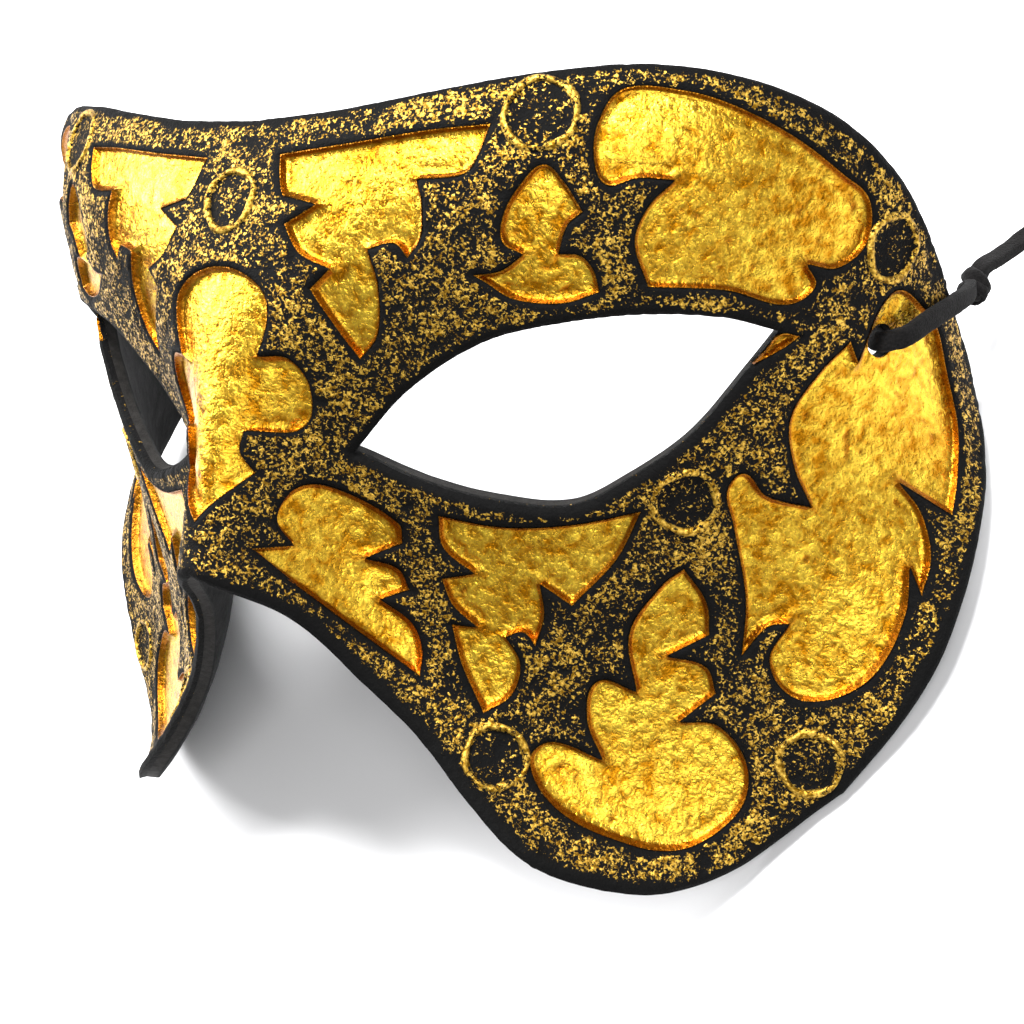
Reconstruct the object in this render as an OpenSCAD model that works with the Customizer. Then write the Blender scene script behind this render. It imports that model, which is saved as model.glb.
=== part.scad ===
// Venetian half mask, lying on its back with the front up.
// Frame: +X to the wearer's left, +Y to the brow, +Z out of the front; the rear tips rest on z = 0.
// A place on the mask is (s, t, d): s runs round the face from the centreline, t is the height,
// and d is measured along the outward normal from the outer face, so every layer has a negative d.

/* [Curve round the face] */
// Turn of the outer face per millimetre at the centreline, in degrees
turn_rate = 0.78; // [0.74:0.01:0.82]
// How fast that turn eases off towards the temples, in degrees per square millimetre
turn_ease = 0.00245; // [0.0022:0.00005:0.0028]

/* [Brow and cheek lean] */
// How far the brow stands out beyond the cheeks, per 50 mm of height
brow_lean = 21.2; // [19:0.1:23]
// How much that lean grows towards the side of the face
side_lean = 4.8; // [4:0.1:5.5]
// How much that growth turns back again at the temples
temple_lean = 2.4; // [2:0.1:2.8]
// Hollowing of the middle height of the face
mid_hollow = 1.5; // [0:0.1:3]
// How much the lean eases off towards the top and bottom edges
lean_ease = 7.2; // [6:0.1:8]
// How much that easing grows towards the side of the face
side_ease = 1.8; // [1.4:0.1:2.2]
// How much that growth turns back again at the temples
temple_ease = 1.1; // [0.8:0.1:1.3]

/* [Nose] */
// Rise of the nose bridge at eye height
nose_rise = 12.7; // [11:0.1:14]
// Extra rise of the nose per 50 mm of height downwards
nose_slope = 19.6; // [17:0.1:21]
// Arch of the nose ridge along its height
nose_arch = 2.5; // [1.5:0.1:3.5]
// Half width of the nose bridge at eye height
nose_width = 12.2; // [11:0.1:14]
// Half width that the bridge gains per 50 mm of height upwards
nose_flare = 11.3; // [9:0.1:13]
// How much faster it widens away from eye height
nose_spread = 25; // [22:0.5:28]

/* [Layers] */
// Thickness of the raised outer layer that the windows are cut in
relief_t = 1.8; // [1.4:0.1:2.2]
// Thickness of the papier mache base shell
base_t = 1.6; // [1.2:0.1:2.2]
// Thickness of the black lining inside
lining_t = 0.3; // [0.2:0.05:0.5]
// Thickness of the floor and the lip of each gilded inlay
inlay_t = 0.35; // [0.3:0.05:0.6]
// How far the rim draws in per millimetre of depth
rim_taper = 0.4; // [0:0.05:0.6]

/* [Rings] */
// Outer diameter of a raised ring
ring_d = 10.5; // [9:0.1:12]
// Outer diameter of the two large rings on the brow
brow_ring_d = 11.5; // [10:0.1:12.5]
// Width of the ring band
ring_band = 1.2; // [0.8:0.1:1.6]
// Height of the ring band above the outer face
ring_h = 0.5; // [0.3:0.1:0.8]

/* [Ties] */
// Width of the flat suede cord
cord_w = 3; // [2.5:0.1:3.5]
// Thickness of the flat suede cord
cord_t = 1.8; // [1.4:0.1:2]
// Diameter of the hole that each tie goes through
tie_hole_d = 5; // [4.5:0.1:5.5]
// Turns in each put-away coil
coil_turns = 3; // [2:1:4]

/* [Hidden] */

black = "#1d1d1c";
dark_gold = "#5a4a20";
gold = "#e0a418";
suede = "#141414";

// Tilt of the face that puts the temple tips and the cheek lobes on the table together
rest_tilt = 16.4;
// Depth that the resting tips are trimmed flat
rest_trim = 0.5;
// Gap between an inlay and the window wall, and past a face where a cut goes through
gap = 0.1;
cut_depth = 14;
columns = 22;
rows = 11;

// ---- outer face ----
function rate_at(s) = turn_rate * s - turn_ease * s * abs(s);
plan_step = 1;
plan_x = [for (i = 0, x = 0; i <= 130; x = x + plan_step * cos(rate_at((i + 0.5) * plan_step)), i = i + 1)
    [i * plan_step, x]];
plan_z = [for (i = 0, z = 0; i <= 130; z = z - plan_step * sin(rate_at((i + 0.5) * plan_step)), i = i + 1)
    [i * plan_step, z]];

function lean(s, t) = let (r = t / 50, q = pow(s / 50, 2))
    r * (brow_lean + side_lean * q - temple_lean * q * q)
    + mid_hollow * r * r
    - pow(r, 3) * (lean_ease + side_ease * q - temple_ease * q * q);
function nose(s, t) = let (r = t / 50, half = max(nose_width + nose_flare * r + nose_spread * r * r, 4))
    (nose_rise - nose_slope * r - nose_arch * r * r) * exp(-pow(s / half, 2));
function face(s, t) = let (h = lean(s, t) + nose(s, t), a = rate_at(s))
    [sign(s) * lookup(abs(s), plan_x) + h * sin(a), t, lookup(abs(s), plan_z) + h * cos(a)];

function unit(v) = v / norm(v);
small = 0.05;
function along(s, t) = unit(face(s + small, t) - face(s - small, t));
function outward(s, t) = unit(cross(along(s, t), face(s, t + small) - face(s, t - small)));

function tilted(v) = [v.x, v.y * cos(rest_tilt) - v.z * sin(rest_tilt),
                      v.y * sin(rest_tilt) + v.z * cos(rest_tilt)];

// ---- outline of one half, as four edges that meet at the temple corners ----
lower_edge = [[0, -24], [10, -28], [20, -37], [30, -45], [40, -54], [50, -61], [62, -64], [74, -64],
              [86, -59], [98, -47]];
upper_edge = [[0, 45], [14, 46], [28, 48.5], [42, 51.5], [56, 53.5], [68, 52.5], [80, 49], [91, 43],
              [101, 35]];
temple_edge = [[98, -47], [103, -37], [107, -27], [110, -17], [113, -7], [116, 3], [117, 12],
               [115, 20], [109, 27], [101, 35]];

function hermite(p0, p1, m0, m1, f) = (2 * pow(f, 3) - 3 * f * f + 1) * p0
    + (pow(f, 3) - 2 * f * f + f) * m0 + (3 * f * f - 2 * pow(f, 3)) * p1 + (pow(f, 3) - f * f) * m1;
function smooth(p, u) = let (n = len(p) - 1, k = min(floor(u * n), n - 1))
    hermite(p[k], p[k + 1], (p[k + 1] - p[max(k - 1, 0)]) / 2, (p[min(k + 2, n)] - p[k]) / 2, u * n - k);
function patch(a, b) = let (lo = lower_edge[0], hi = upper_edge[0],
                            lo_t = temple_edge[0], hi_t = temple_edge[len(temple_edge) - 1])
    (1 - b) * smooth(lower_edge, a) + b * smooth(upper_edge, a)
    + (1 - a) * (lo + b * (hi - lo)) + a * smooth(temple_edge, b)
    - ((1 - a) * (1 - b) * lo + (1 - a) * b * hi + a * (1 - b) * lo_t + a * b * hi_t);

// The whole grid at depth d, drawn in from the outline by the taper of the rim
half_width = 110;
mid_height = 45;
function grid(d) = let (draw = rim_taper * max(-d, 0), ka = 1 - draw / half_width, kb = 1 - draw / mid_height)
    [for (i = [-columns:columns], j = [0:rows])
        let (p = patch(ka * abs(i) / columns, 0.5 + kb * (j / rows - 0.5)), s = sign(i) * p.x)
            tilted(face(s, p.y) + d * outward(s, p.y))];
shell_t = relief_t + base_t + lining_t;
grid_all = concat(grid(0), grid(-shell_t));
y_mid = (min([for (p = grid_all) p.y]) + max([for (p = grid_all) p.y])) / 2;
z_low = min([for (p = grid_all) p.z]) + rest_trim;

function seat(v) = tilted(v) - [0, y_mid, z_low];
function at(s, t, d) = seat(face(s, t) + d * outward(s, t));

// ---- layers and local frames ----
// A closed layer over the whole outline, between depths d_in and d_out
module layer(d_in, d_out) {
    w = rows + 1;
    last = 2 * columns;
    n = w * (last + 1);
    points = [for (p = concat(grid(d_out), grid(d_in))) p - [0, y_mid, z_low]];
    rim = concat([for (i = [0:last]) i * w], [for (j = [1:rows]) last * w + j],
                 [for (i = [last - 1:-1:0]) i * w + rows], [for (j = [rows - 1:-1:1]) j]);
    faces = concat(
        [for (i = [0:last - 1], j = [0:rows - 1]) let (k = i * w + j)
            each [[k, k + w + 1, k + w], [k, k + 1, k + w + 1]]],
        [for (i = [0:last - 1], j = [0:rows - 1]) let (k = i * w + j + n)
            each [[k, k + w, k + w + 1], [k, k + w + 1, k + 1]]],
        [for (i = [0:len(rim) - 1]) let (a = rim[i], b = rim[(i + 1) % len(rim)])
            each [[a, b, b + n], [a, b + n, a + n]]]);
    intersection() {
        polyhedron(points, faces, convexity = 10);
        translate([-150, -150, 0])
            cube([300, 300, 200]);
    }
}

// Puts its children in the frame of the outer face at (s, t): X round the face, Z outward
module on_face(s, t) {
    o = at(s, t, 0);
    ex = tilted(along(s, t));
    ez = tilted(outward(s, t));
    ey = cross(ez, ex);
    multmatrix([[ex.x, ey.x, ez.x, o.x], [ex.y, ey.y, ez.y, o.y], [ex.z, ey.z, ez.z, o.z], [0, 0, 0, 1]])
        children();
}

// Draws its children on the wearer's left, or mirrored on the right
module side(right) {
    mirror([right ? 1 : 0, 0, 0])
        children();
}

// ---- outlines, each in the frame of the outer face at its own place ----
// A closed line through points, round everywhere except at a tip, whose third value is 1
curve_step = 4.5;
function is_tip(p) = len(p) == 3;
function flat(p) = [p.x, p.y];
function curved(p) = let (n = len(p))
    [for (k = [0:n - 1])
        let (a = flat(p[k]), b = flat(p[(k + 1) % n]), size = norm(b - a),
             ma = is_tip(p[k]) ? b - a : size * unit(b - flat(p[(k + n - 1) % n])),
             mb = is_tip(p[(k + 1) % n]) ? b - a : size * unit(flat(p[(k + 2) % n]) - a),
             straight = is_tip(p[k]) && is_tip(p[(k + 1) % n]),
             steps = straight ? 1 : max(round(size / curve_step), 1))
            for (i = [0:steps - 1]) hermite(a, b, ma, mb, i / steps)];

eye_at = [48, 6];
eye = [[-30, -12, 1], [-22, -1], [-11, 8], [0, 12], [11, 14], [22, 14], [30, 12, 1], [26, 6], [19, -4],
       [11, -11], [3, -16], [-8, -16.5], [-20, -15]];

nose_at = [0, 3];
nose_half = [[0, 19], [5, 18], [9, 15], [9.5, 11], [8, 6, 1], [12, 6], [14, 2], [12, -4], [6, -5, 1],
             [5.5, -8], [7, -11, 1], [0, -19, 1]];
nose_outline = concat(nose_half, [for (i = [len(nose_half) - 2:-1:1])
    is_tip(nose_half[i]) ? [-nose_half[i].x, nose_half[i].y, 1] : [-nose_half[i].x, nose_half[i].y]]);

// [name, place on the face, outline]
inlays = [
    ["wing_inlay", [22, 26],
        [[-17, 12, 1], [-16, 8], [-15, 6, 1], [-9, 5, 1], [-14, 2, 1], [-11, -2], [-6, -4, 1],
         [-9, -7, 1], [-2, -17, 1], [1, -13], [1.5, -6], [0, -1, 1], [4, 0], [6, -2, 1], [8, 1],
         [8, 6], [7, 9, 1], [14, 10], [16, 13], [17, 17, 1], [8, 16], [-4, 14]]],
    ["brow_inlay", [44, 28],
        [[0, 10], [3, 8], [6, 4, 1], [4, 2], [3, -2, 1], [6, -2], [8, -4], [9, -7, 1], [4, -9],
         [-3, -9], [-7, -7], [-9, -6, 1], [-5, -5], [-2, -2.5, 1], [-5, -1], [-5, 3], [-3, 7]]],
    ["temple_inlay", [69, 36],
        [[-18, 12], [-21, 7], [-21, 2], [-19, -1], [-15, 0.5], [-10, 1, 1], [-13, -3], [-14, -8],
         [-11, -14, 1], [0, -13], [9, -14], [13, -11], [11, -8, 1], [16, -8], [20, -4], [19, 2],
         [14, 5], [6, 9], [-3, 12], [-10, 13]]],
    ["side_inlay", [92, -3],
        [[3, 31], [8, 29], [12, 26], [15, 20], [18, 12], [18, 5], [17, -1, 1], [8, 3, 1], [12, -1],
         [14, -7], [13, -13, 1], [11, -9, 1], [11, -16], [8, -25], [3, -30], [-3, -31], [-7, -26],
         [-5, -20, 1], [-8, -21], [-11, -26, 1], [-12, -17], [-16, -6], [-18, -1], [-16, 2], [-12, -1],
         [-5, -2, 1], [-9, 4], [-11, 11], [-8, 18], [-4, 23, 1], [-2, 20, 1], [0, 28]]],
    ["eye_corner_inlay", [77, 16],
        [[-3, -2, 1], [-1.5, 0.5], [0, 3], [3, 3, 1], [1, 1]]],
    ["inner_cheek_inlay", [17, -22],
        [[-16, 3, 1], [-10, 4, 1], [-13, 8], [-10, 13], [-4, 13], [5, 9], [6, 6, 1], [1, 3, 1], [6, 2],
         [8, -1, 1], [4, -3, 1], [9, -6], [11, -10], [11, -14, 1], [-4, -5]]],
    ["middle_cheek_inlay", [46, -25],
        [[-15, 14, 1], [-5, 13.5], [5, 15], [15, 18, 1], [12, 10], [6, 2, 1], [1, 5, 1], [2, 0],
         [1, -5, 1], [-1, -3], [-3.5, -4, 1], [-1, -8], [-2, -13], [-6, -16, 1], [-10, -9],
         [-12, -3, 1], [-8, -3, 1], [-12, 0], [-14, 4, 1], [-9, 5.5, 1], [-14, 9]]],
    ["lower_cheek_inlay", [66, -37],
        [[4, 22, 1], [8, 17], [9, 12, 1], [3, 8, 1], [9, 7], [11, 3, 1], [6, -2, 1], [12, -2],
         [17, -8], [16, -15], [8, -21], [-3, -20], [-12, -16], [-16, -10], [-13, -7], [-5, -9, 1],
         [-8, -3], [-7, 3], [-1, 2, 1], [-3, 11], [1, 19]]]
];

// [name, place on the face, outer diameter]
rings = [
    ["ring_brow", [43, 45], brow_ring_d],
    ["ring_temple", [92, 33], ring_d],
    ["ring_under_eye", [68, -6], ring_d],
    ["ring_inner_cheek", [42, -47], ring_d],
    ["ring_outer_cheek", [93, -43], ring_d]];

// A straight-sided tool with the given outline, through the face at p
module tool(p, outline, grow = 0) {
    on_face(p.x, p.y)
        translate([0, 0, -cut_depth])
            linear_extrude(2 * cut_depth)
                offset(delta = grow)
                    polygon(curved(outline));
}

tie_hole_at = [94, 20];
module tie_hole() {
    on_face(tie_hole_at.x, tie_hole_at.y)
        cylinder(h = 2 * cut_depth, d = tie_hole_d, center = true, $fn = 32);
}

module openings() {
    for (right = [false, true])
        side(right) {
            tool(eye_at, eye);
            tie_hole();
        }
}

// ---- shell ----
module base_shell() {
    color(black)
        resize([0, 0, 0])
            difference() {
                layer(-relief_t - base_t, -relief_t);
                openings();
            }
}

module inner_lining() {
    color(black)
        resize([0, 0, 0])
            difference() {
                layer(-shell_t, -relief_t - base_t);
                openings();
            }
}

module relief_layer() {
    color(dark_gold)
        resize([0, 0, 0])
            difference() {
                layer(-relief_t, 0);
                openings();
                tool(nose_at, nose_outline);
                for (right = [false, true], i = inlays)
                    side(right)
                        tool(i[1], i[2]);
            }
}

// ---- gilded inlays: a thin floor with a lip round it ----
module inlay(p, outline) {
    color(gold)
        resize([0, 0, 0])
            difference() {
                intersection() {
                    layer(-relief_t, -gap);
                    tool(p, outline, -gap);
                }
                intersection() {
                    layer(-relief_t + inlay_t, 1);
                    tool(p, outline, -gap - inlay_t);
                }
                tie_hole();
            }
}

// ---- rings ----
ring_sides = 20;
module ring(p, d) {
    color(dark_gold)
        resize([0, 0, 0])
            intersection() {
                layer(0, ring_h);
                on_face(p.x, p.y)
                    difference() {
                        cylinder(h = 8, d = d, center = true, $fn = ring_sides);
                        cylinder(h = 10, d = d - 2 * ring_band, center = true, $fn = ring_sides);
                    }
            }
}

// ---- ties ----
// A flat cord swept along points, each with the direction that its broad face looks
module ribbon(points, up) {
    n = len(points);
    sides = 8;
    rings = [for (k = [0:n - 1])
        let (dir = unit(points[min(k + 1, n - 1)] - points[max(k - 1, 0)]),
             wide = unit(cross(up[k], dir)), thick = cross(dir, wide))
            for (a = [0:sides - 1]) points[k] + wide * (cord_w / 2) * cos(a * 360 / sides)
                + thick * (cord_t / 2) * sin(a * 360 / sides)];
    polyhedron(rings, concat(
        [[for (a = [0:sides - 1]) a]],
        [[for (a = [sides - 1:-1:0]) (n - 1) * sides + a]],
        [for (k = [0:n - 2], a = [0:sides - 1]) let (b = (a + 1) % sides)
            each [[k * sides + a, (k + 1) * sides + a, k * sides + b],
                  [k * sides + b, (k + 1) * sides + a, (k + 1) * sides + b]]]));
}

function spread(p, steps) = [for (k = [0:steps]) smooth(p, k / steps)];

// The knot sits just off the edge of the temple; the loop goes from it over the front,
// down through the hole and back along the inside: places are (s, t, d)
knot_at = [113.5, 31.5, 0.5];
knot_d = 5.6;
loop_places = [[112, 31, 0.5], [109.5, 29.5, 1], [105, 27, 1], [100, 24, 1], [96.5, 21.5, 1],
               [94.5, 20, -1], [94.5, 20, -3], [96.5, 21.5, -5], [100, 24, -5], [105, 27, -5],
               [109.5, 29.5, -5], [112, 31, -4]];
loop_up = [for (k = [0:len(loop_places) - 1]) let (p = loop_places[k])
    k < 5 ? tilted(outward(p.x, p.y)) : (k < 7 ? -tilted(along(p.x, p.y)) : -tilted(outward(p.x, p.y)))];

module tie_loop() {
    color(suede)
        ribbon(spread([for (p = loop_places) at(p.x, p.y, p.z)], 33), spread(loop_up, 33));
}

module tie_knot() {
    c = at(knot_at.x, knot_at.y, knot_at.z);
    color(suede)
        resize([0, 0, 0])
            difference() {
                translate(c)
                    sphere(d = knot_d, $fn = 12);
                tie_loop();
            }
}

// Pitch between the turns of the coil, and the centreline of its outermost turn
coil_pitch = cord_w + 0.15;
coil_r = 20.6;
coil_out = coil_r + cord_w / 2;
coil_in = coil_out - (coil_turns + 0.4) * coil_pitch;
coil_left = [116, 72];
coil_right = [-58, 66];
// Routes from the knot down to the table and to the start of the coil
function coil_start(place) = [place.x - coil_r, place.y, cord_t / 2];
route_left = [[85, 51, 11], [86, 54.5, 8], [87, 57.5, 5.5], [88, 60, 4], [89.5, 62, 2.5],
              [91, 64, 1.5], [92.5, 67, 1], [94.5, 69.5, 1], coil_start(coil_left)];
route_right = [[-85, 51, 11], [-85, 53.5, 8.5], [-85, 56, 6], [-84, 58, 4], [-83, 59.5, 2.5],
               [-82, 61, 1.5], [-80.5, 63, 1], [-79, 64.5, 1], coil_start(coil_right)];

module tie_cord(route) {
    color(suede)
        ribbon(spread(route, 12), [for (k = [0:12]) [0, 0, 1]]);
}

module tie_coil(place) {
    color(suede)
        translate(place)
            rotate_extrude($fn = 64)
                translate([coil_in, 0])
                    square([coil_out - coil_in, cord_t]);
}

module coil_band(place) {
    width = coil_out - coil_in;
    color(suede)
        translate([place.x + coil_in, place.y - 1.5, 0])
            difference() {
                translate([-0.6, 0, 0])
                    cube([width + 1.2, 3, cord_t + 0.6]);
                translate([-gap / 2, -1, -1])
                    cube([width + gap, 5, cord_t + 1 + gap / 2]);
            }
}

base_shell();
inner_lining();
relief_layer();
inlay(nose_at, nose_outline);  // nose_inlay
ring([0, 32], ring_d);  // ring_brow_centre
for (right = [false, true]) {
    end = right ? "_right" : "_left";
    for (i = inlays) side(right) inlay(i[1], i[2]);
    for (r = rings) side(right) ring(r[1], r[2]);
    side(right) tie_loop();
    side(right) tie_knot();
    tie_cord(right ? route_right : route_left);
    tie_coil(right ? coil_right : coil_left);
    coil_band(right ? coil_right : coil_left);
}
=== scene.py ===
"""Venetian half mask resting on its rear edge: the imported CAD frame, dressed with finer pieces and materials."""
import math

import bmesh
import bpy
import numpy as np
from mathutils import Matrix, Vector, geometry


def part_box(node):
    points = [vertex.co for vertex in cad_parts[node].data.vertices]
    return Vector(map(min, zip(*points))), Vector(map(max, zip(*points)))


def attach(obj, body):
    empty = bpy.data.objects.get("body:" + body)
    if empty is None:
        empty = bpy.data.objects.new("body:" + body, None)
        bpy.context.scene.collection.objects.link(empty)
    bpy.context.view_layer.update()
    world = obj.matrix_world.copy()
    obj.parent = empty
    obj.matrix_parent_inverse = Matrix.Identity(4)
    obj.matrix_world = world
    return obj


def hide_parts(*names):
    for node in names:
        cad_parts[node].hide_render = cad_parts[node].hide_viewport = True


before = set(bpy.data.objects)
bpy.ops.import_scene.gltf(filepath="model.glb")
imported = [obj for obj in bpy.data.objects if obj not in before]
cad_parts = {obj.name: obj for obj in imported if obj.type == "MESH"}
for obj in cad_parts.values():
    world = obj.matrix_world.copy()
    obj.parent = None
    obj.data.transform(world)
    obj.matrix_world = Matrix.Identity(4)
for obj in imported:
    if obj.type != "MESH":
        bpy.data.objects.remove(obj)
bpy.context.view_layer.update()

MM = 0.001
SIDES = (("left", 1), ("right", -1))


# ---- camera ----
def make_camera():
    data = bpy.data.cameras.new("camera")
    data.lens = 65.01
    data.sensor_width = 36
    data.clip_start = 0.01
    camera = bpy.data.objects.new("camera", data)
    camera.location = Vector((200.03, -67.31, 256.28)) * MM
    camera.rotation_euler = [math.radians(a) for a in (23.664, 32.804, 18.174)]
    bpy.context.collection.objects.link(camera)
    bpy.context.scene.camera = camera


make_camera()

# ---- the outer face, as in part.scad: (s, t, d) is round the face, up it, and out of it ----
TURN_RATE = 0.78
TURN_EASE = 0.00245
REST_TILT = math.radians(16.4)
BROW_LEAN, SIDE_LEAN, TEMPLE_LEAN = 21.2, 4.8, 2.4
MID_HOLLOW = 1.5
LEAN_EASE, SIDE_EASE, TEMPLE_EASE = 7.2, 1.8, 1.1
NOSE_RISE, NOSE_SLOPE, NOSE_ARCH = 12.7, 19.6, 2.5
NOSE_WIDTH, NOSE_FLARE, NOSE_SPREAD = 12.2, 11.3, 25
RELIEF_T = 1.8
BASE_T = 1.6
LINING_T = 0.3
SHELL_T = RELIEF_T + BASE_T + LINING_T
RIM_TAPER = 0.4

LOWER_EDGE = [(0, -24), (10, -28), (20, -37), (30, -45), (40, -54), (50, -61), (62, -64), (74, -64),
              (86, -59), (98, -47)]
UPPER_EDGE = [(0, 45), (14, 46), (28, 48.5), (42, 51.5), (56, 53.5), (68, 52.5), (80, 49), (91, 43),
              (101, 35)]
TEMPLE_EDGE = [(98, -47), (103, -37), (107, -27), (110, -17), (113, -7), (116, 3), (117, 12),
               (115, 20), (109, 27), (101, 35)]


def turn(s):
    return np.radians(TURN_RATE * s - TURN_EASE * s * np.abs(s))


PLAN_STEP = 0.25
PLAN_S = np.arange(0, 130, PLAN_STEP)
PLAN_X = np.concatenate([[0], np.cumsum(np.cos(turn(PLAN_S + PLAN_STEP / 2)) * PLAN_STEP)])[:-1]
PLAN_Z = np.concatenate([[0], np.cumsum(-np.sin(turn(PLAN_S + PLAN_STEP / 2)) * PLAN_STEP)])[:-1]


def lean(s, t):
    r = t / 50
    q = (s / 50) ** 2
    return (r * (BROW_LEAN + SIDE_LEAN * q - TEMPLE_LEAN * q * q) + MID_HOLLOW * r * r
            - r ** 3 * (LEAN_EASE + SIDE_EASE * q - TEMPLE_EASE * q * q))


def nose(s, t):
    r = t / 50
    half = np.maximum(NOSE_WIDTH + NOSE_FLARE * r + NOSE_SPREAD * r * r, 4)
    return (NOSE_RISE - NOSE_SLOPE * r - NOSE_ARCH * r * r) * np.exp(-((s / half) ** 2))


def unit(v):
    return v / np.linalg.norm(v, axis=-1, keepdims=True)


def tilt(v):
    c, n = math.cos(REST_TILT), math.sin(REST_TILT)
    return np.stack([v[..., 0], v[..., 1] * c - v[..., 2] * n, v[..., 1] * n + v[..., 2] * c], -1)


def face(s, t):
    s, t = np.asarray(s, float), np.asarray(t, float)
    h = lean(s, t) + nose(s, t)
    a = turn(s)
    x = np.sign(s) * np.interp(np.abs(s), PLAN_S, PLAN_X) + h * np.sin(a)
    z = np.interp(np.abs(s), PLAN_S, PLAN_Z) + h * np.cos(a)
    return tilt(np.stack([x, t, z], -1))


def axes(s, t):
    """Unit vectors along s, up the face, and outward."""
    e = 0.05
    s, t = np.asarray(s, float), np.asarray(t, float)
    ex = unit(face(s + e, t) - face(s - e, t))
    ez = unit(np.cross(ex, face(s, t + e) - face(s, t - e)))
    return ex, np.cross(ez, ex), ez


def hermite(a, b, ma, mb, f):
    """The curve from a to b that leaves along ma and arrives along mb."""
    return ((2 * f ** 3 - 3 * f * f + 1) * a + (f ** 3 - 2 * f * f + f) * ma
            + (3 * f * f - 2 * f ** 3) * b + (f ** 3 - f * f) * mb)


def smooth(points, u):
    """Catmull-Rom through points, with u from 0 to 1."""
    p = np.asarray(points, float)
    n = len(p) - 1
    u = np.asarray(u, float) * n
    k = np.clip(np.floor(u).astype(int), 0, n - 1)
    f = (u - k)[..., None]
    a, b = p[k], p[k + 1]
    ma = (b - p[np.maximum(k - 1, 0)]) / 2
    mb = (p[np.minimum(k + 2, n)] - a) / 2
    return hermite(a, b, ma, mb, f)


def patch(a, b):
    """The half outline's inside: a from the centreline to the temple, b from the lower to the upper edge."""
    lo, hi = np.array(LOWER_EDGE[0]), np.array(UPPER_EDGE[0])
    lo_t, hi_t = np.array(TEMPLE_EDGE[0]), np.array(TEMPLE_EDGE[-1])
    edges = [smooth(LOWER_EDGE, a), smooth(UPPER_EDGE, a), smooth(TEMPLE_EDGE, b)]
    a, b = a[..., None], b[..., None]
    return ((1 - b) * edges[0] + b * edges[1] + (1 - a) * (lo + b * (hi - lo)) + a * edges[2]
            - ((1 - a) * (1 - b) * lo + (1 - a) * b * hi + a * (1 - b) * lo_t + a * b * hi_t))


HALF_SPAN = 110
HALF_HEIGHT = 45


def grid(columns, rows, draw=0.0):
    """(s, t) over the whole mask, with the rim drawn in by draw."""
    i = np.arange(-columns, columns + 1)
    j = np.arange(rows + 1)
    a = (1 - draw / HALF_SPAN) * np.abs(i) / columns
    b = 0.5 + (1 - draw / HALF_HEIGHT) * (j / rows - 0.5)
    a, b = np.meshgrid(a, b, indexing="ij")
    st = patch(a, b)
    st[..., 0] *= np.sign(i)[:, None]
    return st


# The face is seated on the frame by the relief layer's own box, with the grid that part.scad uses
CAD_COLUMNS, CAD_ROWS = 22, 11
raw = grid(CAD_COLUMNS, CAD_ROWS)
raw = face(raw[..., 0], raw[..., 1])
box_high = np.array(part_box("relief_layer")[1]) / MM
SEAT = np.array([0, raw[..., 1].max() - box_high[1], raw[..., 2].max() - box_high[2]])


def at(s, t, d=0.0):
    return face(s, t) + axes(s, t)[2] * np.asarray(d, float)[..., None] - SEAT


# ---- meshes ----
def make_object(name, points, faces, smooth_angle=40):
    mesh = bpy.data.meshes.new(name)
    mesh.from_pydata(np.asarray(points, float) * MM, [], faces)
    mesh.validate()
    mesh.update()
    obj = bpy.data.objects.new(name, mesh)
    bpy.context.collection.objects.link(obj)
    mesh.shade_smooth()
    if smooth_angle:
        mesh.set_sharp_from_angle(angle=math.radians(smooth_angle))
    return obj


def set_attribute(obj, name, values):
    layer = obj.data.attributes.new(name, "FLOAT", "POINT")
    layer.data.foreach_set("value", np.asarray(values, np.float32))


def noise(p, cell, seed=0):
    """Smooth value noise from -1 to 1, with features about one cell (mm) across."""
    q = np.asarray(p, float) / cell + 1000
    i = np.floor(q).astype(np.int64)
    f = q - i
    f = f * f * (3 - 2 * f)
    total = 0
    for dx in (0, 1):
        for dy in (0, 1):
            for dz in (0, 1):
                n = ((i[:, 0] + dx) * 73856093) ^ ((i[:, 1] + dy) * 19349663) ^ ((i[:, 2] + dz) * 83492791)
                n = (n ^ (seed * 6542989)) & 0xFFFFFFFF
                n = ((n ^ (n >> 15)) * 2246822519) & 0xFFFFFFFF
                n = ((n ^ (n >> 13)) * 3266489917) & 0xFFFFFFFF
                w = ((f[:, 0] if dx else 1 - f[:, 0]) * (f[:, 1] if dy else 1 - f[:, 1])
                     * (f[:, 2] if dz else 1 - f[:, 2]))
                total = total + w * ((n ^ (n >> 16)) & 0xFFFF) / 32767.5
    return total - 1


def ramp(x, low, high):
    f = np.clip((x - low) / (high - low), 0, 1)
    return f * f * (3 - 2 * f)


# ---- cords ----
CORD_W = 3.0
CORD_T = 1.8
COIL_TURNS = 3
COIL_R = 20.6
COIL_PITCH = CORD_W + 0.15
TURN_STEPS = 32
LOOP_STEPS = 90
ROUTE_STEPS = 60
LACE_STEP = 0.8
COILS = {"left": (116, 72), "right": (-58, 66)}
ROUTES = {
    "left": [(85, 51, 11), (86, 54.5, 8), (87, 57.5, 5.5), (88, 60, 4), (89.5, 62, 2.5), (91, 64, 1.5),
             (92.5, 67, 1), (94.5, 69.5, 1)],
    "right": [(-85, 51, 11), (-85, 53.5, 8.5), (-85, 56, 6), (-84, 58, 4), (-83, 59.5, 2.5),
              (-82, 61, 1.5), (-80.5, 63, 1), (-79, 64.5, 1)],
}
TIES = {side: {"coil": (x, y), "route": ROUTES[side] + [(x - COIL_R, y, CORD_T / 2)]}
        for side, (x, y) in COILS.items()}
KNOT_AT = (113.5, 31.5, 0.5)
LOOP = [(112, 31, 0.5), (109.5, 29.5, 1), (105, 27, 1), (100, 24, 1), (96.5, 21.5, 1), (94.5, 20, -1),
        (94.5, 20, -3), (96.5, 21.5, -5), (100, 24, -5), (105, 27, -5), (109.5, 29.5, -5), (112, 31, -4)]


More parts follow.
